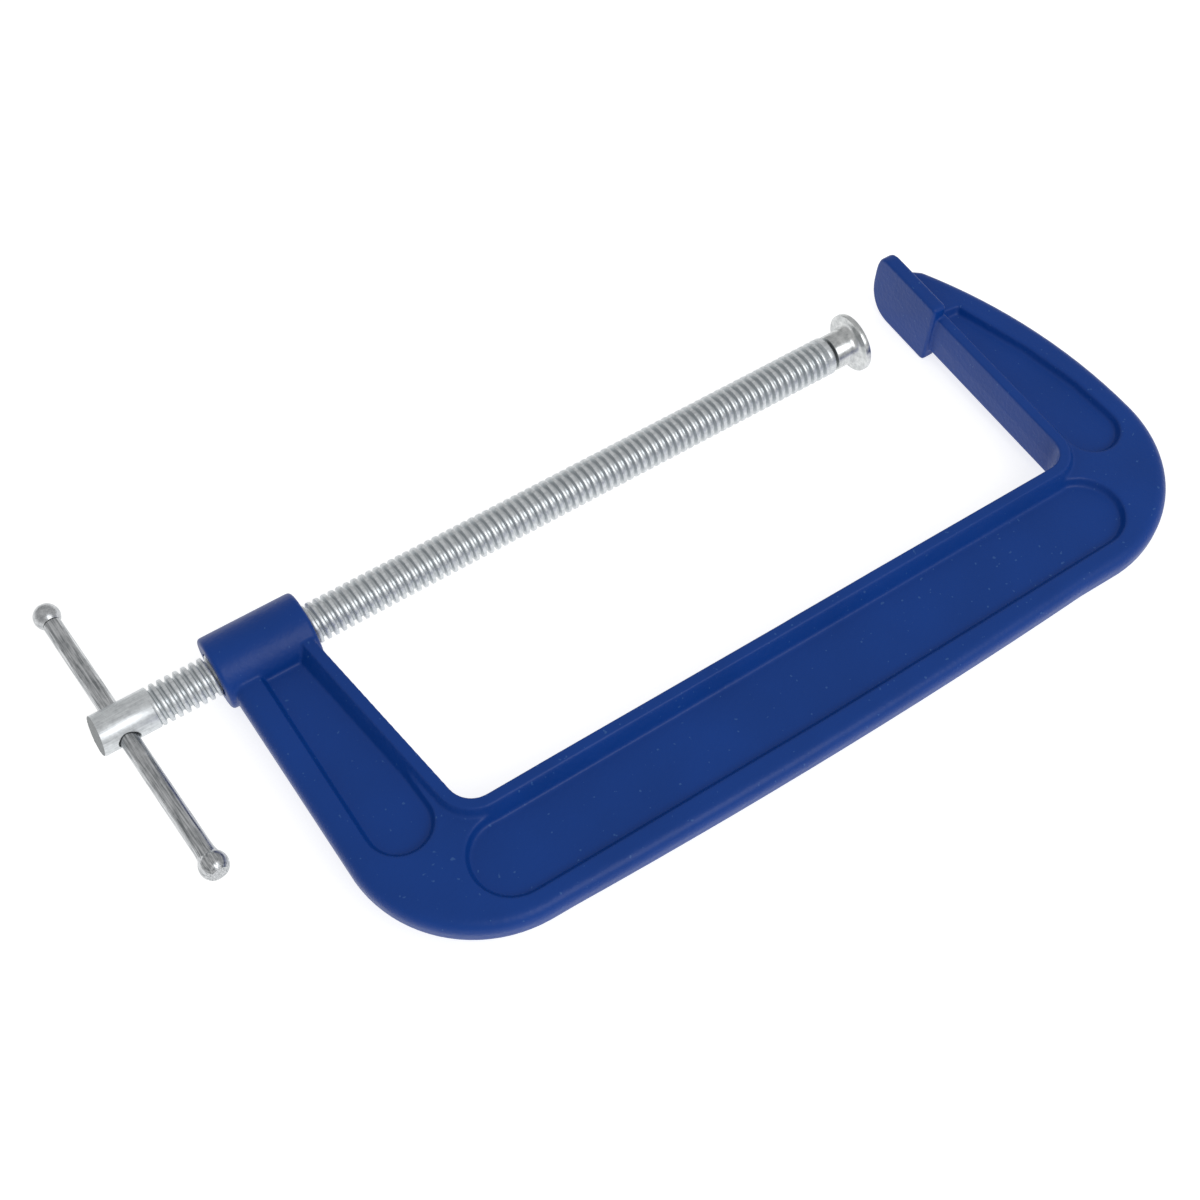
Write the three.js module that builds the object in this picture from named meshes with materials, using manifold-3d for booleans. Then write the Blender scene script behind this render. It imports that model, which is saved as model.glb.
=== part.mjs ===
// Heavy-duty G-clamp, 300 mm class. Millimetres.
// +X runs along the screw from the handle to the anvil, +Z is square to the frame's flat faces,
// the spine lies at -Y. The origin is the centre of the anvil's clamping face, on the screw axis.
import * as THREE from 'three';
import { ConvexGeometry } from 'three/addons/geometries/ConvexGeometry.js';
import { mergeVertices } from 'three/addons/utils/BufferGeometryUtils.js';
import Module from 'manifold-3d';

// ---- driving dimensions ----
const GAP = 0.3; // running clearance between touching pieces
const RIM_HALF = 12.3; // half thickness over the inner rim
const WEB_HALF = 8; // half thickness over the corners and the outer band
const FLOOR_HALF = 3.8; // half thickness between the panel floors
const RIM_W = 5.7; // width of the inner rim's top
const SPINE_IN = -122; // throat depth from the screw axis
const SPINE_TILT = 0.6; // the throat runs this much deeper at the screw end, shallower at the anvil end
const SPINE_OUT = -184.3; // outer edge of the bowed spine at its deepest
const SPINE_BOW_R = 3480; // radius of the bow
const ARM_FACE = 2.7; // inner face of the anvil arm, behind the anvil face
const BOSS_X0 = -400.5; // handle side of the boss
const BOSS_X1 = -352.5; // jaw side of the boss
const BOSS_R = 18;
const ENTRY_R = 11; // plain entry at each end of the boss thread
const ENTRY_LEN = 3;
const ANVIL_T = 7.6; // anvil plate thickness
const ANVIL_HALF = 19.5; // anvil plate half width
const ANVIL_LOW = -19;
const ANVIL_TIP = 25;
const THREAD_R = 10; // trapezoidal 20 x 4
const THREAD_ROOT = 7.75;
const PITCH = 4;
const CREST_W = 1.6;
const FLANK_W = 0.605;
const TURN_SIDES = 12; // facets in one turn of the thread
const THREAD_GAP = 0.5; // radial clearance, so the facets also pass each other when the screw turns
const THREAD_X0 = -431.5;
const THREAD_X1 = -53.6;
const HEAD_R = 9.9;
const HEAD_X0 = -460.5;
const HOLE_R = 5;
const BAR_X = -447.6; // where the bar crosses the screw axis
const BAR_TILT = 3.95; // the cross hole is drilled this many degrees off square
const BAR_R = 4.5;
const KNOB_R = 6.8;
const KNOB_FORGED_Y = -83.9; // centre of the forged ball
const KNOB_FITTED_Y = 69.8; // centre of the fitted ball
const STUB_R = 3; // turned stub the fitted ball is riveted on
const BALL_X = -44.7; // centre of the swivel ball
const BALL_R = 6;
const NECK_R = 4.2;
const PAD_FRONT = -34.7;
const PAD_T = 3.1;
const PAD_R = 15.6;
const SOCKET_BACK = -50.6;
const SOCKET_OUT_R = 9.4;
const RING_X = -48.2;
const RING_R = 6.2;
const RING_WIRE = 0.8;
const GROOVE_R = 1.6; // the wire floats in its groove, which lets the pad tilt

const wasm = await Module();
wasm.setup();
const { Manifold, Mesh } = wasm;

// ---- helpers between three.js and the boolean kernel ----
const toSolid = (geometry) => {
  const bare = new THREE.BufferGeometry();
  bare.setAttribute('position', geometry.getAttribute('position').clone());
  if (geometry.index) {
    bare.setIndex(geometry.index.clone());
  }
  const merged = mergeVertices(bare, 1e-5);
  const points = merged.getAttribute('position').array;
  // turn the triangles over when they face inward
  const corner = (k) => new THREE.Vector3().fromArray(points, 3 * k);
  const kept = [];
  const raw = merged.index.array;
  let volume = 0;
  for (let i = 0; i < raw.length; i += 3) {
    const [a, b, c] = [raw[i], raw[i + 1], raw[i + 2]];
    if (a !== b && b !== c && a !== c) {
      kept.push([a, b, c]);
      volume += corner(a).dot(corner(b).cross(corner(c)));
    }
  }
  const facing = volume < 0 ? kept.map(([a, b, c]) => [a, c, b]) : kept;
  const mesh = new Mesh({
    numProp: 3,
    vertProperties: new Float32Array(points),
    triVerts: new Uint32Array(facing.flat()),
  });
  mesh.merge();
  return new Manifold(mesh);
};

const toMesh = (solid, name, material) => {
  const out = solid.getMesh();
  const geometry = new THREE.BufferGeometry();
  geometry.setAttribute('position', new THREE.BufferAttribute(new Float32Array(out.vertProperties), 3));
  geometry.setIndex(new THREE.BufferAttribute(new Uint32Array(out.triVerts), 1));
  const flat = geometry.toNonIndexed();
  flat.computeVertexNormals();
  const mesh = new THREE.Mesh(flat, material);
  mesh.name = name;
  return mesh;
};

const hullOf = (points) => toSolid(new ConvexGeometry(points));

// a turned body about the X axis, profile as [x, radius] pairs from left to right
const turned = (profile, sides) => {
  const points = profile.map(([x, r]) => new THREE.Vector2(r, x));
  const geometry = new THREE.LatheGeometry(points, sides);
  geometry.rotateZ(-Math.PI / 2);
  return toSolid(geometry);
};

// points on an arc from one angle to another, angles in degrees
const arc = (cx, cy, r, from, to, steps) => {
  const out = [];
  for (let i = 0; i <= steps; i += 1) {
    const a = THREE.MathUtils.degToRad(from + ((to - from) * i) / steps);
    out.push(new THREE.Vector2(cx + r * Math.cos(a), cy + r * Math.sin(a)));
  }
  return out;
};

// a body lofted through rings of 3D points, closed by flat ends
const lofted = (rings) => {
  const n = rings[0].length;
  const positions = [];
  const index = [];
  rings.forEach((ring) => ring.forEach((p) => positions.push(p.x, p.y, p.z)));
  for (let k = 0; k + 1 < rings.length; k += 1) {
    for (let i = 0; i < n; i += 1) {
      const j = (i + 1) % n;
      const a = k * n + i;
      const b = k * n + j;
      index.push(a, b, b + n, a, b + n, a + n);
    }
  }
  return { positions, index, n };
};

// ---- frame: outer outline, anticlockwise seen from +Z, top of the screw arm round to the anvil tip ----
const outerPath = () => {
  const bowY = SPINE_OUT + SPINE_BOW_R;
  const left = arc(0, 0, 1, 180, 268, 11).map((p) => new THREE.Vector2(-330 + 64.6 * p.x, -118 + 63.8 * p.y));
  return [
    new THREE.Vector2(-398.2, -6),
    ...left,
    ...arc(-193, bowY, SPINE_BOW_R, 270 - 2.1, 270 + 2.6, 8),
    ...arc(-14.4, -112, 68.8, 272, 360, 12),
    ...arc(54.4 - 262, -112, 262, 2.5, 27.5, 8),
  ];
};

// throat side outline at the rim, from the boss to the anvil
const innerPath = () => {
  const lean = Math.atan2(14, 94);
  const leanDeg = THREE.MathUtils.radToDeg(lean);
  const start = new THREE.Vector2(-357, 0);
  const r1 = 12;
  // the left fillet touches the leaning arm and the straight spine
  const cy1 = SPINE_IN - SPINE_TILT + r1;
  const cx1 = start.x - Math.tan(lean) * cy1 + r1 / Math.cos(lean);
  const r2 = 11;
  return [
    start,
    ...arc(cx1, cy1, r1, 180 + leanDeg, 270, 6),
    new THREE.Vector2(-170, SPINE_IN),
    ...arc(ARM_FACE - r2, SPINE_IN + SPINE_TILT + r2, r2, 270, 360, 6),
    new THREE.Vector2(ARM_FACE, 10),
  ];
};

const normalsOf = (path) => path.map((p, i) => {
  const a = path[Math.max(0, i - 1)];
  const b = path[Math.min(path.length - 1, i + 1)];
  const d = b.clone().sub(a).normalize();
  return new THREE.Vector2(d.y, -d.x); // to the right of travel
});

const offsetPath = (path, distance) => {
  const normals = normalsOf(path);
  return path.map((p, i) => p.clone().addScaledVector(normals[i], distance));
};

// main plate: rounded outer edge, plain inner edge buried in the rim
const plate = () => {
  const outer = outerPath();
  const inner = offsetPath(innerPath(), 3).reverse();
  const levels = [];
  for (let i = 0; i <= 4; i += 1) {
    const a = (Math.PI / 2) * (i / 4);
    levels.push([2 + (WEB_HALF - 2) * Math.cos(a), 6 * (1 - Math.sin(a))]);
  }
  const heights = [
    ...levels.map(([z, inset]) => [z, inset]),
    ...levels.map(([z, inset]) => [-z, inset]).reverse(),
  ].reverse();
  const rings = heights.map(([z, inset]) => {
    const ring = [...offsetPath(outer, -inset), ...inner];
    return ring.map((p) => new THREE.Vector3(p.x, p.y, z));
  });
  const { positions, index, n } = lofted(rings);
  const last = (rings.length - 1) * n;
  const cap = THREE.ShapeUtils.triangulateShape(rings[0].map((p) => new THREE.Vector2(p.x, p.y)), []);
  cap.forEach(([a, b, c]) => {
    index.push(a, c, b);
    index.push(last + a, last + b, last + c);
  });
  const geometry = new THREE.BufferGeometry();
  geometry.setAttribute('position', new THREE.Float32BufferAttribute(positions, 3));
  geometry.setIndex(index);
  return toSolid(geometry);
};

// inner rim: a ribbon along the throat with a 60 degree back down to the panel floor
const rim = () => {
  const path = innerPath();
  const section = [
    [0.8, RIM_HALF],
    [0, RIM_HALF - 1],
    [0, -(RIM_HALF - 1)],
    [0.8, -RIM_HALF],
    [RIM_W, -RIM_HALF],
    [RIM_W + 5.4, -3],
    [RIM_W + 5.4, 3],
    [RIM_W, RIM_HALF],
  ];
  const normals = normalsOf(path);
  const rings = path.map((p, i) => section.map(([d, z]) => {
    const q = p.clone().addScaledVector(normals[i], d);
    return new THREE.Vector3(q.x, q.y, z);
  }));
  const { positions, index, n } = lofted(rings);
  const last = (rings.length - 1) * n;
  for (let i = 1; i + 1 < n; i += 1) {
    index.push(0, i + 1, i);
    index.push(last, last + i, last + i + 1);
  }
  const geometry = new THREE.BufferGeometry();
  geometry.setAttribute('position', new THREE.Float32BufferAttribute(positions, 3));
  geometry.setIndex(index);
  return toSolid(geometry);
};

// one blind panel: a drafted pocket, outline given at the face
const pocket = (outline, side) => {
  const mid = outline.reduce((s, p) => s.add(p), new THREE.Vector2()).divideScalar(outline.length);
  const depth = WEB_HALF - FLOOR_HALF;
  const box = new THREE.Box2().setFromPoints(outline);
  const size = box.getSize(new THREE.Vector2());
  const points = [];
  outline.forEach((p) => {
    points.push(new THREE.Vector3(p.x, p.y, side * (WEB_HALF + 3)));
    points.push(new THREE.Vector3(p.x, p.y, side * WEB_HALF));
    const q = new THREE.Vector2(
      mid.x + (p.x - mid.x) * (1 - depth / size.x),
      mid.y + (p.y - mid.y) * (1 - depth / size.y),
    );
    points.push(new THREE.Vector3(q.x, q.y, side * FLOOR_HALF));
  });
  return hullOf(points);
};

const panelOutlines = () => [
  // screw arm: square at the boss, round at the corner
  [
    new THREE.Vector2(-384.7, -13),
    new THREE.Vector2(-357, -13),
    ...arc(-366.5, -112, 16.2, 8, -180, 10),
  ],
  // spine: a long panel with round ends
  [
    ...arc(-332.8, -150.8, 20.2, 90, 270, 10),
    new THREE.Vector2(-177, -171.6),
    ...arc(-9.6, -149, 20.2, -90, 90, 10),
  ],
  // anvil arm: narrow at the anvil, round at the corner
  [
    new THREE.Vector2(10, -14),
    new THREE.Vector2(21.2, -15),
    new THREE.Vector2(33.8, -54),
    new THREE.Vector2(40.2, -85),
    ...arc(27, -112, 15, 8, -180, 10),
  ],
];

// ---- thread: a radius field over angle and length that follows one right-hand helix ----
const threadBody = (x0, x1, rCrest, rRoot, crestW) => {
  const flank = FLANK_W;
  const marks = [
    [-crestW / 2 - flank, rRoot],
    [-crestW / 2, rCrest],
    [crestW / 2, rCrest],
    [crestW / 2 + flank, rRoot],
  ];
  const radiusAt = (x, phase) => {
    let t = (x - phase) / PITCH;
    t = (t - Math.round(t)) * PITCH;
    const edge = Math.abs(t);
    if (edge <= crestW / 2) {
      return rCrest;
    }
    if (edge >= crestW / 2 + flank) {
      return rRoot;
    }
    return rCrest + ((rRoot - rCrest) * (edge - crestW / 2)) / flank;
  };
  const columns = [];
  const kMin = Math.floor(x0 / PITCH) - 2;
  const kMax = Math.ceil(x1 / PITCH) + 2;
  for (let s = 0; s <= TURN_SIDES; s += 1) {
    const turn = s / TURN_SIDES;
    const a = 2 * Math.PI * turn;
    const column = [];
    for (let k = kMin; k <= kMax; k += 1) {
      marks.forEach(([dx, r]) => {
        const phase = (k + turn) * PITCH;
        const x = Math.min(x1, Math.max(x0, phase + dx));
        const radius = x === phase + dx ? r : radiusAt(x, phase);
        column.push([x, radius * Math.cos(a), radius * Math.sin(a)]);
      });
    }
    columns.push(column);
  }
  const n = columns[0].length;
  const positions = [];
  columns.forEach((column) => column.forEach((p) => positions.push(...p)));
  positions.push(x0, 0, 0, x1, 0, 0);
  const left = columns.length * n;
  const right = left + 1;
  const index = [];
  for (let s = 0; s < TURN_SIDES; s += 1) {
    for (let i = 0; i + 1 < n; i += 1) {
      const a = s * n + i;
      const b = a + n;
      index.push(a, b, b + 1, a, b + 1, a + 1);
    }
    index.push(left, (s + 1) * n, s * n);
    index.push(right, s * n + n - 1, (s + 1) * n + n - 1);
  }
  const geometry = new THREE.BufferGeometry();
  geometry.setAttribute('position', new THREE.Float32BufferAttribute(positions, 3));
  geometry.setIndex(index);
  return toSolid(geometry);
};

const material = (color, metalness, roughness) => new THREE.MeshStandardMaterial({ color, metalness, roughness });

// ---- build ----
const buildFrame = () => {
  let body = plate();
  panelOutlines().forEach((outline) => {
    body = body.subtract(pocket(outline, 1));
    body = body.subtract(pocket(outline, -1));
  });
  body = body.add(rim());
  const boss = turned([
    [BOSS_X0, 0],
    [BOSS_X0, BOSS_R - 2],
    [BOSS_X0 + 0.6, BOSS_R - 0.6],
    [BOSS_X0 + 2, BOSS_R],
    [BOSS_X1 - 2, BOSS_R],
    [BOSS_X1 - 0.6, BOSS_R - 0.6],
    [BOSS_X1, BOSS_R - 2],
    [BOSS_X1, 0],
  ], 40);
  body = body.add(boss);
  // anvil plate with a bowed tip
  const anvil = [];
  [0, ANVIL_T].forEach((x) => {
    const c = x === 0 ? 1 : 0;
    [-1, 1].forEach((side) => {
      anvil.push(new THREE.Vector3(x, ANVIL_LOW, side * (ANVIL_HALF - 3)));
      anvil.push(new THREE.Vector3(x, ANVIL_LOW + 3, side * (ANVIL_HALF - 0.4 * c)));
      anvil.push(new THREE.Vector3(x, ANVIL_TIP - 3, side * (ANVIL_HALF - 0.4 * c)));
      anvil.push(new THREE.Vector3(x, ANVIL_TIP, side * (ANVIL_HALF - 3)));
      anvil.push(new THREE.Vector3(x, ANVIL_TIP + 2.2, side * 9));
      anvil.push(new THREE.Vector3(x, ANVIL_TIP + 2.8, side * 3));
    });
  });
  body = body.add(hullOf(anvil));
  // nothing stands in front of the clamping face
  const front = new THREE.BoxGeometry(40, 80, 60).translate(-20, 20.5, 0);
  body = body.subtract(toSolid(front));
  // threaded bore with plain entries
  const bore = threadBody(BOSS_X0 - 3, BOSS_X1 + 3, THREAD_R + THREAD_GAP, THREAD_ROOT + THREAD_GAP, CREST_W + 0.7);
  const entryLeft = turned([
    [BOSS_X0 - 3, 0],
    [BOSS_X0 - 3, ENTRY_R],
    [BOSS_X0 + ENTRY_LEN, ENTRY_R],
    [BOSS_X0 + ENTRY_LEN + 2, ENTRY_R - 2],
    [BOSS_X0 + ENTRY_LEN + 2, 0],
  ], 24);
  const entryRight = turned([
    [BOSS_X1 - ENTRY_LEN - 1, 0],
    [BOSS_X1 - ENTRY_LEN - 1, ENTRY_R - 2],
    [BOSS_X1 - ENTRY_LEN + 1, ENTRY_R],
    [BOSS_X1 + 3, ENTRY_R],
    [BOSS_X1 + 3, 0],
  ], 24);
  return body.subtract(bore).subtract(entryLeft).subtract(entryRight);
};

const buildSpindle = () => {
  const thread = threadBody(THREAD_X0 - 1, THREAD_X1 + 0.5, THREAD_R, THREAD_ROOT, CREST_W);
  const head = turned([
    [HEAD_X0, 0],
    [HEAD_X0, HEAD_R - 1.6],
    [HEAD_X0 + 1.6, HEAD_R],
    [THREAD_X0, HEAD_R],
    [THREAD_X0 + 2, THREAD_ROOT],
    [THREAD_X0 + 3, THREAD_ROOT - 0.5],
    [THREAD_X0 + 3, 0],
  ], 24);
  const ball = [];
  for (let i = 0; i <= 8; i += 1) {
    const a = Math.PI - Math.asin(NECK_R / BALL_R) + ((Math.asin(NECK_R / BALL_R) - Math.PI) * i) / 8;
    ball.push([BALL_X + BALL_R * Math.cos(a), Math.max(0, BALL_R * Math.sin(a))]);
  }
  const end = turned([
    [THREAD_X1 - 4, 0],
    [THREAD_X1 - 4, THREAD_ROOT - 0.5],
    [THREAD_X1 - 1.2, THREAD_R - 0.1],
    [THREAD_X1 + 0.6, THREAD_R - 0.1],
    [THREAD_X1 + 1.6, THREAD_R - 1.1],
    [THREAD_X1 + 1.6, NECK_R],
    ...ball,
  ], 24);
  const hole = turned([
    [-20, 0],
    [-20, HOLE_R],
    [20, HOLE_R],
    [20, 0],
  ], 24).rotate([0, 0, 90 + BAR_TILT]).translate([BAR_X, 0, 0]);
  return thread.add(head).add(end).subtract(hole);
};

const buildPad = () => {
  const fillet = 3.4;
  const outer = [
    [SOCKET_BACK, 0],
    [SOCKET_BACK, SOCKET_OUT_R - 0.6],
    [SOCKET_BACK + 0.6, SOCKET_OUT_R],
    [PAD_FRONT - PAD_T - fillet, SOCKET_OUT_R],
  ];
  for (let i = 1; i <= 5; i += 1) {
    const a = (Math.PI / 2) * (i / 5);
    outer.push([
      PAD_FRONT - PAD_T - fillet + fillet * Math.sin(a),
      SOCKET_OUT_R + fillet * (1 - Math.cos(a)),
    ]);
  }
  outer.push([PAD_FRONT - PAD_T, PAD_R - 0.6]);
  outer.push([PAD_FRONT - PAD_T + 0.6, PAD_R]);
  outer.push([PAD_FRONT - 0.6, PAD_R]);
  outer.push([PAD_FRONT, PAD_R - 0.6]);
  outer.push([PAD_FRONT, 0]);
  const socketR = BALL_R + GAP;
  // entry straight, end round
  const socket = [
    [SOCKET_BACK - 1, 0],
    [SOCKET_BACK - 1, socketR],
  ];
  for (let i = 0; i <= 6; i += 1) {
    const a = Math.PI / 2 - (Math.PI / 2) * (i / 6);
    socket.push([BALL_X + socketR * Math.cos(a), Math.max(0, socketR * Math.sin(a))]);
  }
  const groove = [];
  for (let i = 0; i <= 8; i += 1) {
    const a = Math.PI - Math.PI * (i / 8);
    groove.push([RING_X + GROOVE_R * Math.cos(a), RING_R + GROOVE_R * Math.sin(a)]);
  }
  const grooveBody = turned([[RING_X - GROOVE_R, 0], ...groove, [RING_X + GROOVE_R, 0]], 32);
  return turned(outer, 36).subtract(turned(socket, 24)).subtract(grooveBody);
};

const buildRing = () => {
  const ring = new THREE.TorusGeometry(RING_R, RING_WIRE, 8, 26, THREE.MathUtils.degToRad(330));
  // close the two cut ends of the wire
  const pos = Array.from(ring.getAttribute('position').array);
  const index = Array.from(ring.index.array);
  const tube = 27;
  const startC = pos.length / 3;
  pos.push(RING_R, 0, 0);
  const endA = THREE.MathUtils.degToRad(330);
  pos.push(RING_R * Math.cos(endA), RING_R * Math.sin(endA), 0);
  for (let j = 0; j < 8; j += 1) {
    index.push(startC, j * tube, (j + 1) * tube);
    index.push(startC + 1, (j + 1) * tube + 26, j * tube + 26);
  }
  const geometry = new THREE.BufferGeometry();
  geometry.setAttribute('position', new THREE.Float32BufferAttribute(pos, 3));
  geometry.setIndex(index);
  geometry.rotateY(Math.PI / 2);
  geometry.translate(RING_X, 0, 0);
  return toSolid(geometry);
};

// bar profiles run along X here and are then turned to lie along Y
const buildBar = () => {
  const y0 = KNOB_FORGED_Y;
  const profile = [[y0 - 5.6, 0]];
  const from = Math.acos(-5.6 / KNOB_R);
  const to = 0.92;
  for (let i = 0; i <= 7; i += 1) {
    const a = from + ((to - from) * i) / 7;
    profile.push([y0 + KNOB_R * Math.cos(a), KNOB_R * Math.sin(a)]);
  }
  // smooth flare from the ball to the bar
  profile.push([y0 + 5.6, BAR_R + 0.42]);
  profile.push([y0 + 7.4, BAR_R + 0.12]);
  profile.push([y0 + 10, BAR_R]);
  profile.push([KNOB_FITTED_Y - 5.1, BAR_R]);
  profile.push([KNOB_FITTED_Y - 5.1, STUB_R]);
  profile.push([KNOB_FITTED_Y + 4.6, STUB_R]);
  profile.push([KNOB_FITTED_Y + 4.6, 0]);
  return turned(profile, 24).rotate([0, 0, 90 + BAR_TILT]).translate([BAR_X, 0, 0]);
};

const buildKnob = () => {
  const profile = [];
  const open = Math.acos(-4.8 / KNOB_R);
  profile.push([KNOB_FITTED_Y - 4.8, 0]);
  for (let i = 0; i <= 9; i += 1) {
    const a = open - (open * i) / 9;
    profile.push([KNOB_FITTED_Y + KNOB_R * Math.cos(a), Math.max(0, KNOB_R * Math.sin(a))]);
  }
  const ball = turned(profile, 24);
  const socket = turned([
    [KNOB_FITTED_Y - 8, 0],
    [KNOB_FITTED_Y - 8, STUB_R + GAP],
    [KNOB_FITTED_Y + 4.9, STUB_R + GAP],
    [KNOB_FITTED_Y + 4.9, 0],
  ], 24);
  return ball.subtract(socket).rotate([0, 0, 90 + BAR_TILT]).translate([BAR_X, 0, 0]);
};

const enamel = material(0x27479c, 0.0, 0.42);
const zincThread = material(0xb9bdc0, 1.0, 0.34);
const zincPad = material(0xc6c9ca, 1.0, 0.3);
const springSteel = material(0x6f7276, 1.0, 0.4);
const zincBar = material(0xa9adb0, 1.0, 0.32);
const zincKnob = material(0xb0b3b5, 1.0, 0.36);

const group = new THREE.Group();
group.name = 'c_clamp';
group.add(toMesh(buildFrame(), 'frame', enamel));
group.add(toMesh(buildSpindle(), 'spindle', zincThread));
group.add(toMesh(buildPad(), 'swivel_pad', zincPad));
group.add(toMesh(buildRing(), 'pad_retaining_ring', springSteel));
group.add(toMesh(buildBar(), 'tommy_bar', zincBar));
group.add(toMesh(buildKnob(), 'bar_end_ball', zincKnob));

export default group;
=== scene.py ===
# Heavy-duty G-clamp, 300 mm class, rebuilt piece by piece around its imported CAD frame.
import bmesh
import bpy
import math
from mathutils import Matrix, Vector


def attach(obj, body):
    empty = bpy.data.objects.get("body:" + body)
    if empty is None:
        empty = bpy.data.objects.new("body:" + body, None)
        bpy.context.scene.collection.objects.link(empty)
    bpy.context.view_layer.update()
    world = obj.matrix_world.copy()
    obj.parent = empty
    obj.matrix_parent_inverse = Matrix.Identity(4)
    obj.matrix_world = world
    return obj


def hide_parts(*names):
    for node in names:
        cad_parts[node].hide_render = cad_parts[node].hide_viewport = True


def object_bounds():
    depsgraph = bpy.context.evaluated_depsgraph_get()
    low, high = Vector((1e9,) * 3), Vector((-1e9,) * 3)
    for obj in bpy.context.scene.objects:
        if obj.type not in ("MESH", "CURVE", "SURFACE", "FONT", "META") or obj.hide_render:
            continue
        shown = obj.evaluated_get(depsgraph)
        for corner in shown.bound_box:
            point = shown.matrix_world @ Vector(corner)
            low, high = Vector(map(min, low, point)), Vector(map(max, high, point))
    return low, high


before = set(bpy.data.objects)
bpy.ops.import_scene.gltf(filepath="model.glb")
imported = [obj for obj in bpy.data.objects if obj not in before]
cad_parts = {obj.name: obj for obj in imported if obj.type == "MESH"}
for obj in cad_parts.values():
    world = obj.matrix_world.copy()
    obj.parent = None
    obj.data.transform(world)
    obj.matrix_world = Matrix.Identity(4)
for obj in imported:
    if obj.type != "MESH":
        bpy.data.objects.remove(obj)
cad_low, cad_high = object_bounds()

# ---- camera, table and lights ----
# The clamp lies on its side on a white table, seen from above its spine and lit by one broad
# soft box beyond the spine side, with dim studio walls all round.
CAMERA_AT = (-0.45913, -0.40639, 0.68754)
CAMERA_TURNS = (31.0642, -0.4575, -32.8025)
LENS_MM, SENSOR_MM = 51.21, 36.0
bpy.ops.object.camera_add(location=CAMERA_AT,
                          rotation=tuple(math.radians(a) for a in CAMERA_TURNS))
camera = bpy.context.object
camera.name = "studio_camera"
camera.data.lens = LENS_MM
camera.data.sensor_width = SENSOR_MM
camera.data.clip_start = 0.01
camera.data.clip_end = 60.0
bpy.context.scene.camera = camera
bpy.context.scene.view_settings.view_transform = "Standard"


def linear(code):
    """Turns an sRGB hex colour into linear RGBA."""
    channels = [int(code[i:i + 2], 16) / 255 for i in (1, 3, 5)]
    steps = [c / 12.92 if c <= 0.04045 else ((c + 0.055) / 1.055) ** 2.4 for c in channels]
    return (*steps, 1.0)


def add_node(tree, kind, settings=(), values=(), links=()):
    """Adds a node with its settings, its socket values and its incoming links."""
    node = tree.nodes.new(kind)
    for name, value in dict(settings).items():
        setattr(node, name, value)
    for name, value in dict(values).items():
        node.inputs[name].default_value = value
    for name, source in dict(links).items():
        tree.links.new(source, node.inputs[name])
    return node


def new_finish(name, **shader_values):
    """An empty material with one Principled shader carrying the given constants."""
    finish = bpy.data.materials.new(name)
    finish.use_nodes = True
    tree = finish.node_tree
    tree.nodes.clear()
    shader = add_node(tree, "ShaderNodeBsdfPrincipled", values=shader_values)
    add_node(tree, "ShaderNodeOutputMaterial", links={"Surface": shader.outputs["BSDF"]})
    return finish, tree, shader


WORLD_LIGHT = 0.55
world = bpy.data.worlds.new("studio_walls")
world.use_nodes = True
world.node_tree.nodes["Background"].inputs["Color"].default_value = linear("#ffffff")
world.node_tree.nodes["Background"].inputs["Strength"].default_value = WORLD_LIGHT
bpy.context.scene.world = world


def soft_box(name, azimuth, elevation, distance, size, radiance):
    """A square area light that faces the clamp's middle; radiance sets how bright it mirrors."""
    middle = (cad_low + cad_high) / 2
    a, e = math.radians(azimuth), math.radians(elevation)
    away = Vector((math.cos(a) * math.cos(e), math.sin(a) * math.cos(e), math.sin(e)))
    bpy.ops.object.light_add(type="AREA", location=middle + away * distance)
    lamp = bpy.context.object
    lamp.name = name
    lamp.data.shape = "SQUARE"
    lamp.data.size = size
    lamp.data.energy = radiance * math.pi * size * size
    lamp.rotation_euler = away.to_track_quat("Z", "Y").to_euler()


soft_box("spine_side_soft_box",
         azimuth=-77, elevation=48, distance=2.2, size=1.3, radiance=3.0)

TABLE_GAP, TABLE_SIZE, TABLE_GLOW = 0.0003, 16, 0.76
bpy.ops.mesh.primitive_plane_add(size=TABLE_SIZE, location=(-0.2, -0.06, cad_low.z - TABLE_GAP))
table_top = bpy.context.object
table_top.name = "white_table"
# White laminate: matt, slightly mottled, and lit through from below so it stays paper white.
laminate, tree, shader = new_finish("white_laminate", **{
    "Roughness": 0.85, "Emission Color": linear("#ffffff"), "Emission Strength": TABLE_GLOW,
})
place = add_node(tree, "ShaderNodeTexCoord")
mottle = add_node(tree, "ShaderNodeTexNoise", values={"Scale": 9.0, "Detail": 3.0},
                  links={"Vector": place.outputs["Object"]})
whites = add_node(tree, "ShaderNodeValToRGB", links={"Fac": mottle.outputs["Fac"]})
whites.color_ramp.elements[0].color = linear("#babab9")
whites.color_ramp.elements[1].color = linear("#c0c0bf")
tree.links.new(whites.outputs["Color"], shader.inputs["Base Color"])
table_top.data.materials.append(laminate)

# ---- frame casting ----
# One grey-iron casting: a bow of web with a proud rim round the throat, a sunk panel in each
# limb and on each side, a round boss for the screw and a square anvil. It is sand cast, its
# edges softened by the mould and the enamel, then the boss is bored and tapped.
MM = 0.001
WEB_Z = 8.0
FLOOR_Z = 3.8
RIM_Z = 12.3
RIM_WIDTH = 5.7
RIM_SLOPE = 5.3
SPINE_LEFT_Y = -122.6
SPINE_RIGHT_Y = -121.4
THROAT_LEFT_X = -357.0
ANVIL_ARM_X = 2.7
LEFT_FILLET = 12.0
RIGHT_FILLET = 11.0
ARM_LEAN = math.atan2(14, 94)
EDGE_ROUND, BOSS_ROUND, ANVIL_ROUND = 6.0, 1.8, 0.9
ANVIL_THICK = 7.6


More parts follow.
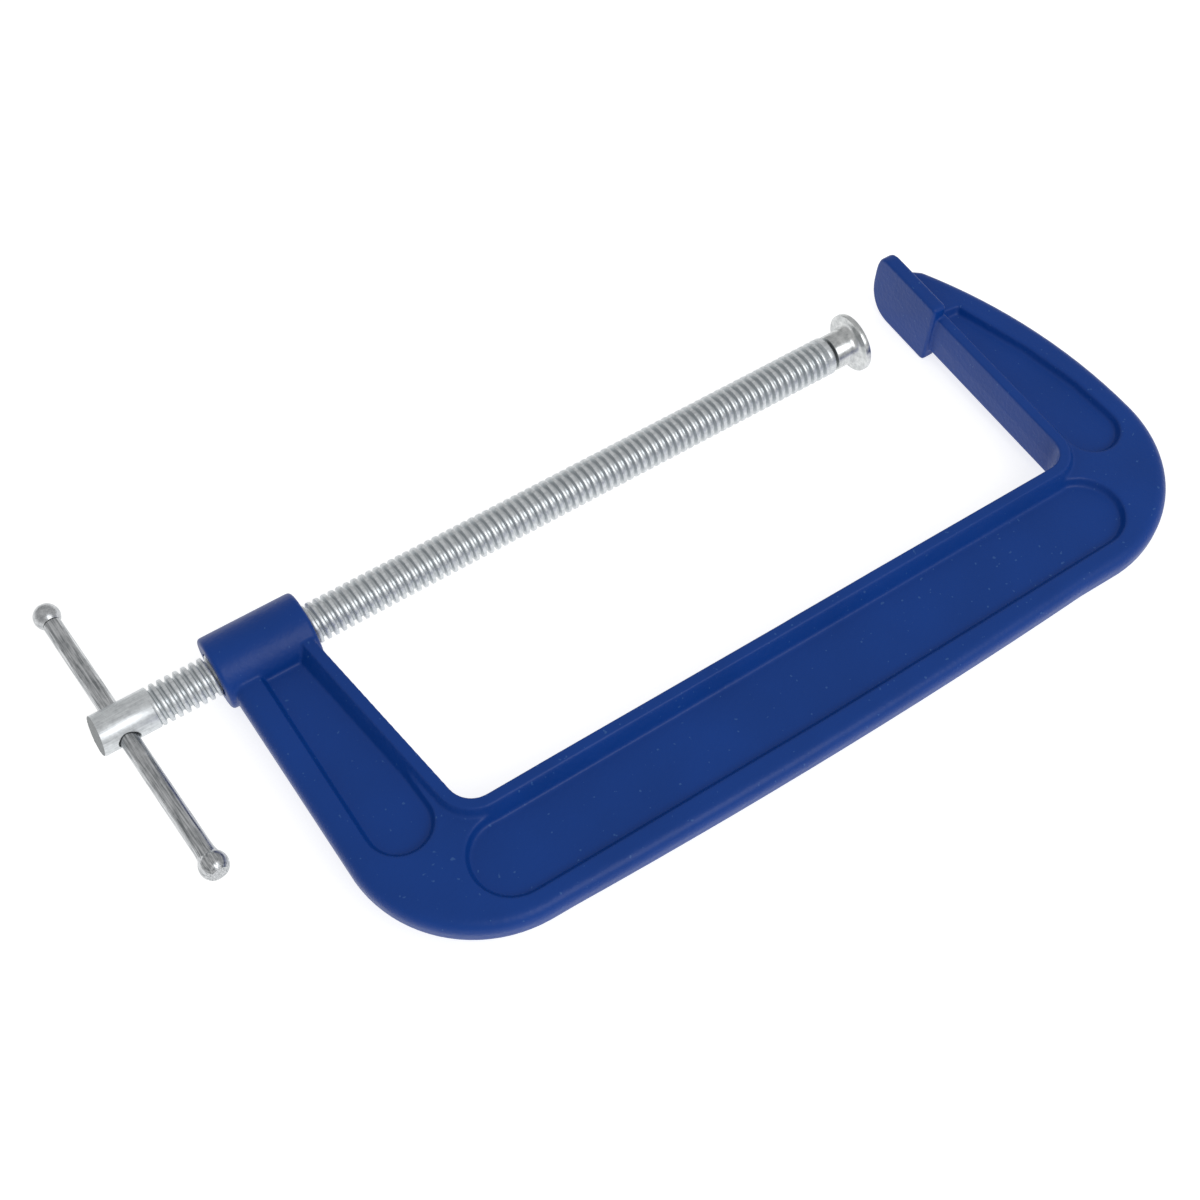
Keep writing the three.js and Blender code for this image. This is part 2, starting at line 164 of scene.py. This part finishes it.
def arc_points(cx, cy, rx, ry, start, stop, steps):
    """Points in millimetres along an arc, angles in degrees."""
    angles = [math.radians(start + (stop - start) * i / steps) for i in range(steps + 1)]
    return [(cx + rx * math.cos(a), cy + ry * math.sin(a)) for a in angles]


def start_piece(name):
    """A new object at the origin holding one vertex, left selected in edit mode."""
    bpy.ops.object.select_all(action="DESELECT")
    bpy.ops.mesh.primitive_plane_add(size=MM, location=(0, 0, 0))
    piece = bpy.context.object
    piece.name = name
    piece.data.name = name
    bpy.ops.object.mode_set(mode="EDIT")
    bpy.ops.mesh.select_mode(type="VERT")
    bpy.ops.mesh.select_all(action="SELECT")
    bpy.ops.mesh.merge(type="CENTER")
    return piece


def draw_line(points, closed=False):
    """Moves the one vertex to the first point, then extrudes it from point to point."""
    spots = [Vector(p) * MM for p in points]
    bpy.ops.transform.translate(value=spots[0])
    for here, there in zip(spots, spots[1:]):
        bpy.ops.mesh.extrude_vertices_move(TRANSFORM_OT_translate={"value": there - here})
    if closed:
        mesh = bmesh.from_edit_mesh(bpy.context.object.data)
        mesh.verts.ensure_lookup_table()
        nearest = min(mesh.verts, key=lambda v: (v.co - spots[0]).length)
        nearest.select = True
        mesh.select_flush(True)
        bmesh.update_edit_mesh(bpy.context.object.data)
        bpy.ops.mesh.edge_face_add()
    bpy.ops.mesh.select_all(action="SELECT")


def select_faces(test):
    """Selects only the faces whose centre and normal pass the test."""
    bpy.ops.mesh.select_mode(type="FACE")
    bpy.ops.mesh.select_all(action="DESELECT")
    mesh = bmesh.from_edit_mesh(bpy.context.object.data)
    for face in mesh.faces:
        if test(face.calc_center_median() / MM, face.normal):
            face.select = True
    bmesh.update_edit_mesh(bpy.context.object.data)


def select_edges(test):
    """Selects only the edges whose two ends both pass the test."""
    bpy.ops.mesh.select_mode(type="EDGE")
    bpy.ops.mesh.select_all(action="DESELECT")
    mesh = bmesh.from_edit_mesh(bpy.context.object.data)
    for edge in mesh.edges:
        if test(edge.verts[0].co / MM, edge.verts[1].co / MM):
            edge.select = True
    bmesh.update_edit_mesh(bpy.context.object.data)


def close_shell():
    """Merges doubles, faces everything outwards and leaves edit mode."""
    bpy.ops.mesh.select_all(action="SELECT")
    bpy.ops.mesh.remove_doubles(threshold=0.004 * MM)
    bpy.ops.mesh.normals_make_consistent(inside=False)
    bpy.ops.object.mode_set(mode="OBJECT")


def pick(*pieces):
    """Selects only these pieces, with the first one active."""
    bpy.ops.object.select_all(action="DESELECT")
    for piece in pieces:
        piece.select_set(True)
    bpy.context.view_layer.objects.active = pieces[0]


def join_pieces(name, parts):
    """Joins the parts into the first one and names it."""
    pick(*parts)
    bpy.ops.object.join()
    parts[0].name = name
    parts[0].data.name = name
    return parts[0]


def finish_with(piece, kind, **settings):
    """Adds a modifier with its settings and applies it."""
    pick(piece)
    modifier = piece.modifiers.new(kind.lower(), kind)
    for name, value in settings.items():
        setattr(modifier, name, value)
    bpy.ops.object.modifier_apply(modifier=modifier.name)


def carve(piece, cutter, operation="DIFFERENCE"):
    """Cuts the cutter out of the piece, or fuses it on, and removes the cutter."""
    finish_with(piece, "BOOLEAN", operation=operation, object=cutter, solver="EXACT")
    bpy.data.objects.remove(cutter)


# the bow of web, drawn on its top face and extruded through the thickness
outer_line = (
    [(-398.2, -6)]
    + arc_points(-330, -118, 64.6, 63.8, 180, 268, 22)
    + arc_points(-193, 3295.7, 3480, 3480, 267.9, 272.6, 14)
    + arc_points(-14.4, -112, 68.8, 68.8, 272, 360, 24)
    + arc_points(-207.6, -112, 262, 262, 2, 29, 14)
    + [(17, 17.5), (7, 21)]
)
left_normal = (-math.cos(ARM_LEAN), -math.sin(ARM_LEAN))
left_centre = (
    THROAT_LEFT_X - math.tan(ARM_LEAN) * (SPINE_LEFT_Y + LEFT_FILLET)
    + LEFT_FILLET / math.cos(ARM_LEAN),
    SPINE_LEFT_Y + LEFT_FILLET,
)
right_centre = (ANVIL_ARM_X - RIGHT_FILLET, SPINE_RIGHT_Y + RIGHT_FILLET)
BURIED = 3.0
inner_line = (
    [(ANVIL_ARM_X + BURIED, 21)]
    + arc_points(*right_centre, RIGHT_FILLET + BURIED, RIGHT_FILLET + BURIED, 0, -90, 6)
    + arc_points(*left_centre, LEFT_FILLET + BURIED, LEFT_FILLET + BURIED, 270,
                 180 + math.degrees(ARM_LEAN), 6)
    + [(THROAT_LEFT_X - BURIED, -3)]
)
casting = start_piece("frame_casting")
draw_line([(x, y, WEB_Z) for x, y in outer_line + inner_line], closed=True)
bpy.ops.mesh.edge_face_add()
bpy.ops.mesh.extrude_region_move(TRANSFORM_OT_translate={"value": (0, 0, -2 * WEB_Z * MM)})
buried = {(round(x, 1), round(y, 1)) for x, y in inner_line + outer_line[-1:]}
bpy.ops.mesh.select_all(action="SELECT")
bpy.ops.mesh.normals_make_consistent(inside=False)
select_edges(lambda a, b: abs(a.z - b.z) < 0.01
             and (round(a.x, 1), round(a.y, 1)) not in buried
             and (round(b.x, 1), round(b.y, 1)) not in buried)
bpy.ops.mesh.bevel(offset=EDGE_ROUND * MM, segments=7, profile=0.5, affect="EDGES",
                   clamp_overlap=False)
close_shell()

# the sunk panels, one cutter for each side of each limb
POCKET_WALL, CUTTER_RISE = 2.2, 4
panel_lines = [
    [(-384.7, -9), (-357, -9)] + arc_points(-366.5, -112, 16.2, 16.2, 8, -180, 16),
    arc_points(-332.8, -150.8, 20.2, 20.2, 90, 270, 16) + [(-177, -171.6)]
    + arc_points(-9.6, -149, 20.2, 20.2, -90, 90, 16),
    [(10, -14), (21.2, -15), (33.8, -54), (40.2, -85)]
    + arc_points(27, -112, 15, 15, 8, -180, 16),
]
for outline in panel_lines:
    for side in (1, -1):
        cutter = start_piece("panel_cutter")
        draw_line([(x, y, side * WEB_Z) for x, y in outline], closed=True)
        bpy.ops.mesh.edge_face_add()
        rise = (0, 0, side * CUTTER_RISE * MM)
        bpy.ops.mesh.extrude_region_move(TRANSFORM_OT_translate={"value": rise})
        bpy.ops.mesh.select_all(action="SELECT")
        bpy.ops.mesh.normals_make_consistent(inside=False)
        select_faces(lambda c, n: abs(c.z - side * WEB_Z) < 0.01 and abs(n.z) > 0.9)
        bpy.ops.mesh.inset(thickness=POCKET_WALL * MM, depth=(WEB_Z - FLOOR_Z) * MM)
        close_shell()
        carve(casting, cutter)

# the rim: its section is drawn once and swept down the leaning arm, along the spine and up
rim_section = [
    (0.6, RIM_Z), (0.42, RIM_Z - 0.7), (0.0, 0.0), (0.42, -RIM_Z + 0.7), (0.6, -RIM_Z),
    (RIM_WIDTH, -RIM_Z), (RIM_WIDTH + RIM_SLOPE, -3), (RIM_WIDTH + RIM_SLOPE, 3),
    (RIM_WIDTH, RIM_Z),
]
rim = start_piece("throat_rim")
draw_line([(THROAT_LEFT_X + left_normal[0] * d, left_normal[1] * d, z) for d, z in rim_section],
          closed=True)
arm_foot = (left_centre[0] + LEFT_FILLET * left_normal[0],
            left_centre[1] + LEFT_FILLET * left_normal[1])


def sweep_to(here, there):
    """Extrudes the section straight from one point to another."""
    step = Vector((there[0] - here[0], there[1] - here[1], 0)) * MM
    bpy.ops.mesh.extrude_edges_move(TRANSFORM_OT_translate={"value": step})


def sweep_round(centre, degrees, steps):
    """Spins the section round a corner; mesh.spin turns clockwise for a positive angle."""
    bpy.ops.mesh.spin(steps=steps, angle=-math.radians(degrees), axis=(0, 0, 1),
                      center=(centre[0] * MM, centre[1] * MM, 0))


sweep_to((THROAT_LEFT_X, 0), arm_foot)
sweep_round(left_centre, 90 - math.degrees(ARM_LEAN), 10)
sweep_to((left_centre[0], SPINE_LEFT_Y), (right_centre[0], SPINE_RIGHT_Y))
sweep_round(right_centre, 90, 10)
sweep_to((ANVIL_ARM_X, right_centre[1]), (ANVIL_ARM_X, 10))
bpy.ops.mesh.select_all(action="DESELECT")
bpy.ops.mesh.select_non_manifold()
bpy.ops.mesh.fill_holes(sides=0)
close_shell()

# the boss, with its rounded ends
BOSS_LEFT, BOSS_RIGHT, BOSS_R = -400.5, -352.5, 18.0
bpy.ops.object.select_all(action="DESELECT")
bpy.ops.mesh.primitive_cylinder_add(
    vertices=96, radius=BOSS_R * MM, depth=(BOSS_RIGHT - BOSS_LEFT) * MM,
    location=((BOSS_LEFT + BOSS_RIGHT) / 2 * MM, 0, 0), rotation=(0, math.pi / 2, 0))
boss = bpy.context.object
bpy.ops.object.transform_apply(location=True, rotation=True, scale=True)
bpy.ops.object.mode_set(mode="EDIT")
select_edges(lambda a, b: abs(a.x - b.x) < 0.01)
bpy.ops.mesh.bevel(offset=BOSS_ROUND * MM, segments=5, profile=0.5, affect="EDGES")
close_shell()

# the anvil block: a plate with a bowed tip, drawn face on and extruded backwards
anvil_line = (
    arc_points(17, -16.5, 2.5, 2.5, 0, -90, 4) + arc_points(-17, -16.5, 2.5, 2.5, 270, 180, 4)
    + [(-19.5, 12), (-19.2, 15.5), (-18.0, 19), (-15.6, 22.3), (-12, 25), (-7, 27), (-1, 27.8),
       (7, 27.8), (12.5, 27.3), (16.5, 26.2), (18.6, 24.2), (19.5, 21)]
)
anvil = start_piece("anvil_block")
draw_line([(0.0, y, z) for z, y in anvil_line], closed=True)
bpy.ops.mesh.edge_face_add()
bpy.ops.mesh.extrude_region_move(TRANSFORM_OT_translate={"value": (ANVIL_THICK * MM, 0, 0)})
bpy.ops.mesh.select_all(action="SELECT")
bpy.ops.mesh.normals_make_consistent(inside=False)
select_edges(lambda a, b: abs(a.x - b.x) < 0.01)
bpy.ops.mesh.bevel(offset=ANVIL_ROUND * MM, segments=3, profile=0.5, affect="EDGES")
close_shell()

# cast as one: the shells are fused, and mould and enamel round every corner
casting = join_pieces("frame_casting", [casting, rim, boss, anvil])
VOXEL, SMOOTHING = ((0.68, 5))
CASTING_TRIANGLES = 180000
finish_with(casting, "REMESH", mode="VOXEL", voxel_size=VOXEL * MM)
finish_with(casting, "SMOOTH", factor=0.5, iterations=SMOOTHING)
triangles = sum(len(p.vertices) - 2 for p in casting.data.polygons)
if triangles > CASTING_TRIANGLES:
    finish_with(casting, "DECIMATE", ratio=CASTING_TRIANGLES / triangles)


def turn_on_lathe(name, profile, steps):
    """Draws a half profile of (x, radius) points and spins it about the X axis."""
    piece = start_piece(name)
    draw_line([(x, r, 0.0) for x, r in profile])
    bpy.ops.mesh.spin(steps=steps, angle=2 * math.pi, axis=(1, 0, 0), center=(0, 0, 0))
    close_shell()
    return piece


# the drill and its countersinks, then the bore is cut through the boss
BORE_R, MOUTH_R = 10.3, 10.9
drill = turn_on_lathe("boss_drill", [
    (BOSS_LEFT - 3, 0), (BOSS_LEFT - 3, MOUTH_R), (BOSS_LEFT + 1.5, MOUTH_R),
    (BOSS_LEFT + 1.5 + MOUTH_R - BORE_R, BORE_R),
    (BOSS_RIGHT - 1.5 - MOUTH_R + BORE_R, BORE_R),
    (BOSS_RIGHT - 1.5, MOUTH_R), (BOSS_RIGHT + 3, MOUTH_R), (BOSS_RIGHT + 3, 0),
], 96)
carve(casting, drill)


def smooth_piece(piece, angle):
    """Shades the piece smooth, apart from edges sharper than the angle in degrees."""
    pick(piece)
    bpy.ops.object.shade_smooth_by_angle(angle=math.radians(angle))


def coat(piece, finish):
    """Gives the whole piece one finish."""
    piece.data.materials.clear()
    piece.data.materials.append(finish)


smooth_piece(casting, 50)

# Blue enamel on cast iron: sprayed and stoved. It gives a deep even blue, a soft sheen with
# orange peel about 2.5 mm across, the sand's slow waviness under it, and a few dust nibs.
enamel, tree, shader = new_finish("stoved_blue_enamel", **{
    "Roughness": 0.4, "IOR": 1.5, "Specular IOR Level": 0.26,
})
place = add_node(tree, "ShaderNodeTexCoord")
where = place.outputs["Object"]
drift = add_node(tree, "ShaderNodeTexNoise", values={"Scale": 1 / 0.045, "Detail": 4.0},
                 links={"Vector": where})
blues = add_node(tree, "ShaderNodeValToRGB", links={"Fac": drift.outputs["Fac"]})
blues.color_ramp.elements[0].position = 0.3
blues.color_ramp.elements[0].color = linear("#013784")
blues.color_ramp.elements[1].position = 0.7
blues.color_ramp.elements[1].color = linear("#033b8c")
nibs = add_node(tree, "ShaderNodeTexNoise", values={"Scale": 1 / 0.0022, "Detail": 1.0},
                links={"Vector": where})
nib_spots = add_node(tree, "ShaderNodeMapRange", values={"From Min": 0.73, "From Max": 0.77},
                     links={"Value": nibs.outputs["Fac"]})
dusted = add_node(tree, "ShaderNodeMix", {"data_type": "RGBA"}, links={
    "Factor": nib_spots.outputs["Result"], 6: blues.outputs["Color"]})
dusted.inputs[7].default_value = linear("#2d5596")
tree.links.new(dusted.outputs[2], shader.inputs["Base Color"])
sheen = add_node(tree, "ShaderNodeTexNoise", values={"Scale": 1 / 0.012, "Detail": 5.0},
                 links={"Vector": where})
sheen_range = add_node(tree, "ShaderNodeMapRange", values={"To Min": 0.36, "To Max": 0.46},
                       links={"Value": sheen.outputs["Fac"]})
tree.links.new(sheen_range.outputs["Result"], shader.inputs["Roughness"])
peel = add_node(tree, "ShaderNodeTexNoise", values={"Scale": 1 / 0.0025, "Detail": 2.0},
                links={"Vector": where})
waviness = add_node(tree, "ShaderNodeTexNoise", values={"Scale": 1 / 0.016, "Detail": 2.0},
                    links={"Vector": where})
wavy = add_node(tree, "ShaderNodeBump", values={"Strength": 0.8, "Distance": 0.0003},
                links={"Height": waviness.outputs["Fac"]})
peeled = add_node(tree, "ShaderNodeBump", values={"Strength": 0.8, "Distance": 0.0002},
                  links={"Height": peel.outputs["Fac"], "Normal": wavy.outputs["Normal"]})
tree.links.new(peeled.outputs["Normal"], shader.inputs["Normal"])
coat(casting, enamel)
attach(casting, "frame")
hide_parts("frame")

# ---- screw spindle ----
# A steel bar rolled with a trapezoidal 20 x 4 thread, with a plain drilled head for the tommy
# bar, and a collar, neck and ball turned on the far end for the swivel shoe.
PITCH = 4.0
CREST_R, ROOT_R = 10.0, 7.75
THREAD_LEFT, THREAD_RIGHT = -431.5, -54.2
HEAD_LEFT, HEAD_R = -460.5, 9.9
FIRST_ROOT, THREAD_TURNS, FACETS = -438.0, 97, 36
thread_profile = [
    (0.0, ROOT_R), (0.5, ROOT_R + 0.05), (0.72, ROOT_R + 0.35), (1.04, CREST_R - 0.5),
    (1.16, CREST_R - 0.14), (1.42, CREST_R), (2.58, CREST_R), (2.84, CREST_R - 0.14),
    (2.96, CREST_R - 0.5), (3.28, ROOT_R + 0.35), (3.5, ROOT_R + 0.05), (4.0, ROOT_R),
]
spindle = start_piece("screw_spindle")
draw_line([(FIRST_ROOT + x, r, 0.0) for x, r in thread_profile])
bpy.ops.object.mode_set(mode="OBJECT")
finish_with(spindle, "SCREW", axis="X", angle=2 * math.pi, screw_offset=PITCH * MM,
            steps=FACETS, render_steps=FACETS, iterations=THREAD_TURNS, use_smooth_shade=False)
bpy.ops.object.mode_set(mode="EDIT")
bpy.ops.mesh.select_all(action="SELECT")
bpy.ops.mesh.remove_doubles(threshold=0.004 * MM)
for cut_x, direction in ((THREAD_LEFT - 1.0, -1), (THREAD_RIGHT, 1)):
    bpy.ops.mesh.select_all(action="SELECT")
    bpy.ops.mesh.bisect(plane_co=(cut_x * MM, 0, 0), plane_no=(direction, 0, 0),
                        use_fill=True, clear_outer=True)
close_shell()
head = turn_on_lathe("spindle_head", [
    (HEAD_LEFT, 0), (HEAD_LEFT, 8.5), (HEAD_LEFT + 0.25, 8.9), (HEAD_LEFT + 1.1, 9.7),
    (HEAD_LEFT + 1.6, HEAD_R), (THREAD_LEFT - 0.3, HEAD_R), (THREAD_LEFT, HEAD_R - 0.2),
    (THREAD_LEFT + 1.6, ROOT_R - 0.1), (THREAD_LEFT + 3, ROOT_R - 0.4), (THREAD_LEFT + 3, 0),
], 72)
carve(spindle, head, "UNION")
BALL_X, BALL_R, NECK_R = -44.7, 6.0, 4.2
neck_angle = math.degrees(math.asin(NECK_R / BALL_R))
ball_line = arc_points(BALL_X, 0, BALL_R, BALL_R, 180 - neck_angle, 0, 14)
nose = turn_on_lathe("spindle_nose", [
    (THREAD_RIGHT - 4, 0), (THREAD_RIGHT - 4, ROOT_R - 0.4), (THREAD_RIGHT - 1.2, CREST_R - 0.25),
    (THREAD_RIGHT - 0.9, CREST_R - 0.1), (-53.1, CREST_R - 0.1), (-52.8, CREST_R - 0.3),
    (-52.1, CREST_R - 1.0), (-52.0, CREST_R - 1.3), (-52.0, NECK_R + 0.5), (-51.6, NECK_R),
    *ball_line[:-1], (BALL_X + BALL_R, 0),
], 72)
carve(spindle, nose, "UNION")
BAR_X, BAR_TILT, HOLE_R = -447.6, 3.95, 5.0


def lay_across(piece):
    """Turns a lathe piece made along X so that it lies along the cross hole."""
    pick(piece)
    piece.rotation_euler = (0, 0, math.radians(90 + BAR_TILT))
    piece.location = (BAR_X * MM, 0, 0)
    bpy.ops.object.transform_apply(location=True, rotation=True, scale=True)


cross_drill = turn_on_lathe("cross_drill", [
    (-14, 0), (-14, HOLE_R + 1.5), (-9.9, HOLE_R + 0.5), (-9.0, HOLE_R), (9.0, HOLE_R),
    (9.9, HOLE_R + 0.5), (14, HOLE_R + 1.5), (14, 0),
], 48)
lay_across(cross_drill)
carve(spindle, cross_drill)
# the head's end is sawn off a little out of square
SAW_SLANT = math.radians(10)
bpy.ops.object.mode_set(mode="EDIT")
bpy.ops.mesh.select_all(action="SELECT")
bpy.ops.mesh.bisect(plane_co=((HEAD_LEFT + 1.5) * MM, 0, 0),
                    plane_no=(-math.cos(SAW_SLANT), 0, math.sin(SAW_SLANT)),
                    use_fill=True, clear_outer=True)
close_shell()
smooth_piece(spindle, 40)


LINE_MM = 0.7


def zinc_finish(name, bright, dark, roughness, speckle_mm, drawn_axis=None, turn=0.0, pale=0.5):
    """Zinc plate: cloudy speckle, fine tool or drawing lines, and a soft uneven gloss."""
    finish, tree, shader = new_finish(name, **{"Metallic": 1.0, "Roughness": roughness})
    place = add_node(tree, "ShaderNodeTexCoord")
    stretch = {"ALONG_X": (0.06, 1.0, 1.0), "ROUND_X": (1.0, 0.05, 0.05)}.get(
        drawn_axis, (1.0, 1.0, 1.0))
    turned_place = add_node(tree, "ShaderNodeMapping", {"vector_type": "POINT"},
                            {"Rotation": (0, 0, math.radians(turn))},
                            {"Vector": place.outputs["Object"]})
    lined_place = add_node(tree, "ShaderNodeMapping", {"vector_type": "POINT"},
                           {"Scale": stretch}, {"Vector": turned_place.outputs["Vector"]})
    cloud = add_node(tree, "ShaderNodeTexNoise",
                     values={"Scale": 1000 / speckle_mm, "Detail": 4.0, "Roughness": 0.6},
                     links={"Vector": place.outputs["Object"]})
    lines = add_node(tree, "ShaderNodeTexNoise",
                     values={"Scale": 1000 / LINE_MM, "Detail": 3.0},
                     links={"Vector": lined_place.outputs["Vector"]})
    blend = add_node(tree, "ShaderNodeMix", {"data_type": "FLOAT"}, {"Factor": pale},
                     {2: cloud.outputs["Fac"], 3: lines.outputs["Fac"]})
    tones = add_node(tree, "ShaderNodeValToRGB", links={"Fac": blend.outputs[0]})
    tones.color_ramp.elements[0].position = 0.36
    tones.color_ramp.elements[0].color = linear(dark)
    tones.color_ramp.elements[1].position = 0.62
    tones.color_ramp.elements[1].color = linear(bright)
    tree.links.new(tones.outputs["Color"], shader.inputs["Base Color"])
    gloss = add_node(tree, "ShaderNodeMapRange",
                     values={"To Min": roughness - 0.08, "To Max": roughness + 0.1},
                     links={"Value": cloud.outputs["Fac"]})
    tree.links.new(gloss.outputs["Result"], shader.inputs["Roughness"])
    bump = add_node(tree, "ShaderNodeBump", values={"Strength": 0.4, "Distance": 0.00004},
                    links={"Height": blend.outputs[0]})
    tree.links.new(bump.outputs["Normal"], shader.inputs["Normal"])
    return finish, shader, tones


# Zinc plate on the rolled thread: cloudy and bright on the crests, a little greyer in the roots.
rolled_zinc, shader, tones = zinc_finish(
    "zinc_plated_rolled_thread", "#e2e6e8", "#bfc3c6", 0.36, 2.2, "ALONG_X")
CLOUDED_METALLIC = 0.72
shader.inputs["Metallic"].default_value = CLOUDED_METALLIC
tree = rolled_zinc.node_tree
place = add_node(tree, "ShaderNodeTexCoord")
split = add_node(tree, "ShaderNodeSeparateXYZ", links={"Vector": place.outputs["Object"]})
across = add_node(tree, "ShaderNodeCombineXYZ",
                  links={"Y": split.outputs["Y"], "Z": split.outputs["Z"]})
radius = add_node(tree, "ShaderNodeVectorMath", {"operation": "LENGTH"},
                  links={0: across.outputs["Vector"]})
depth = add_node(tree, "ShaderNodeMapRange",
                 values={"From Min": (ROOT_R + 0.2) * MM, "From Max": (CREST_R - 0.5) * MM},
                 links={"Value": radius.outputs["Value"]})
root_tint = add_node(tree, "ShaderNodeMix", {"data_type": "RGBA"},
                  links={"Factor": depth.outputs["Result"], 7: tones.outputs["Color"]})
root_tint.inputs[6].default_value = linear("#c3c8cb")
tree.links.new(root_tint.outputs[2], shader.inputs["Base Color"])
coat(spindle, rolled_zinc)
# Sawn end of the head: a duller finish than the plate round it, mottled by the saw; its darker
# grey is painted shade on this end, which faces away from the soft box.
sawn_and_shaded_end, _, _ = zinc_finish("sawn_zinc_end_painted_shade", "#8d9193", "#5f6365", 0.5, 1.6)
spindle.data.materials.append(sawn_and_shaded_end)
bpy.ops.object.mode_set(mode="EDIT")
# the head's end face takes the darker finish, whose darkness is painted shade
select_faces(lambda c, n: c.x < HEAD_LEFT + 3.6 and n.x < -0.75)
spindle.active_material_index = 1
bpy.ops.object.material_slot_assign()
bpy.ops.object.mode_set(mode="OBJECT")
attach(spindle, "spindle")
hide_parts("spindle")

# ---- swivel shoe ----
# The shoe is turned from steel: a round disc with a socket cup behind it that holds the
# spindle's ball, a smooth fillet between the two, and a groove inside for the wire ring.
SHOE_FRONT, SHOE_T, SHOE_R = -34.7, 3.1, 15.6
CUP_BACK, CUP_R, CUP_FILLET, SOCKET_R = -50.6, 9.4, 3.4, 6.3
WIRE_X, WIRE_PATH_R, WIRE_R, GROOVE_R = -48.2, 6.2, 0.8, 1.6
disc_back = SHOE_FRONT - SHOE_T
groove_angle = math.degrees(math.asin((SOCKET_R - WIRE_PATH_R) / GROOVE_R))
shoe = turn_on_lathe("swivel_shoe", [
    (SHOE_FRONT, 0), (SHOE_FRONT, SHOE_R - 0.7), (SHOE_FRONT - 0.2, SHOE_R - 0.2),
    (SHOE_FRONT - 0.7, SHOE_R), (disc_back + 0.6, SHOE_R), (disc_back + 0.15, SHOE_R - 0.2),
    (disc_back, SHOE_R - 0.6),
    *arc_points(disc_back - CUP_FILLET, CUP_R + CUP_FILLET, CUP_FILLET, CUP_FILLET, 0, -90, 8),
    (CUP_BACK + 0.6, CUP_R), (CUP_BACK + 0.15, CUP_R - 0.2), (CUP_BACK, CUP_R - 0.6),
    (CUP_BACK, SOCKET_R),
    *arc_points(WIRE_X, WIRE_PATH_R, GROOVE_R, GROOVE_R, 180 - groove_angle, groove_angle, 10),
    *arc_points(BALL_X, 0, SOCKET_R, SOCKET_R, 90, 0, 10)[:-1], (BALL_X + SOCKET_R, 0),
], 96)
smooth_piece(shoe, 40)
# Zinc plate on turned steel: bright, cloudy, with fine lines round the turning.
turned_zinc, _, _ = zinc_finish(
    "zinc_plated_turned_steel", "#dcdede", "#b4b7b8", 0.3, 2.6, "ROUND_X", pale=0.3)
coat(shoe, turned_zinc)
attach(shoe, "pad")
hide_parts("swivel_pad")

# ---- wire ring ----
# A snap ring bent from round spring wire, open by 30 degrees so that it can be pressed in. It
# sits in the cup's groove behind the ball and keeps the shoe on the screw.
wire_ring = start_piece("shoe_wire_ring")
draw_line([(x, y, 0) for x, y in arc_points(WIRE_X, WIRE_PATH_R, WIRE_R, WIRE_R, 0, 340, 17)],
          closed=True)
bpy.ops.mesh.spin(steps=60, angle=-math.radians(330), axis=(1, 0, 0), center=(0, 0, 0))
bpy.ops.mesh.select_all(action="DESELECT")
bpy.ops.mesh.select_non_manifold()
bpy.ops.mesh.fill_holes(sides=0)
close_shell()
smooth_piece(wire_ring, 50)
# Spring steel wire: dark, oiled, with faint drawing marks round the wire.
spring_wire, _, _ = zinc_finish(
    "oiled_spring_wire", "#85888b", "#5d6063", 0.38, 1.5, "ROUND_X")
coat(wire_ring, spring_wire)
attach(wire_ring, "ring")
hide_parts("pad_retaining_ring")

# ---- tommy bar ----
# A drawn steel rod. One ball is forged on its end and flares into the rod, with a flat left by
# the die; the other end is turned down to a stub for a fitted ball.
ROD_R, KNOB_R, STUB_R = 4.5, 6.8, 3.0
FORGED_AT, FITTED_AT = -83.9, 69.8
flat = math.degrees(math.acos(-5.1 / KNOB_R))
rod = turn_on_lathe("tommy_bar_rod", [
    (FORGED_AT - 5.1, 0),
    *arc_points(FORGED_AT, 0, KNOB_R, KNOB_R, flat, 50, 14),
    (FORGED_AT + 5.2, ROD_R + 0.45), (FORGED_AT + 6.2, ROD_R + 0.24),
    (FORGED_AT + 7.6, ROD_R + 0.1), (FORGED_AT + 10, ROD_R),
    (FITTED_AT - 5.4, ROD_R), (FITTED_AT - 5.1, ROD_R - 0.3), (FITTED_AT - 5.1, STUB_R),
    (FITTED_AT + 4.6, STUB_R), (FITTED_AT + 4.6, 0),
], 64)
lay_across(rod)
smooth_piece(rod, 35)
# Zinc plate on drawn rod: long fine lines down the bar, a little darker than the screw.
drawn_zinc, _, _ = zinc_finish(
    "zinc_plated_drawn_rod", "#d4d6d8", "#85898c", 0.28, 3.0, "ALONG_X", -(90 + BAR_TILT), 0.8)
coat(rod, drawn_zinc)
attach(rod, "bar")
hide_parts("tommy_bar")

# ---- fitted ball ----
# A turned ball with a crisp flat shoulder and a blind hole, pushed and riveted on the rod's
# stub once the rod is through the screw.
BALL_CAP_R = 6.45
shoulder = math.degrees(math.acos(-4.8 / BALL_CAP_R))
fitted_ball = turn_on_lathe("tommy_bar_ball", [
    (FITTED_AT + BALL_CAP_R, 0),
    *arc_points(FITTED_AT, 0, BALL_CAP_R, BALL_CAP_R, 6, shoulder, 22),
    (FITTED_AT - 4.8, STUB_R + 0.3), (FITTED_AT + 4.9, STUB_R + 0.3), (FITTED_AT + 4.9, 0),
], 64)
lay_across(fitted_ball)
smooth_piece(fitted_ball, 35)
# Zinc plate on a turned ball: the same bright plate, with an even fine grain.
ball_zinc, _, _ = zinc_finish(
    "zinc_plated_turned_ball", "#d0d2d4", "#9da0a3", 0.3, 2.4, pale=0.4)
coat(fitted_ball, ball_zinc)
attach(fitted_ball, "bar")
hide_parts("bar_end_ball")
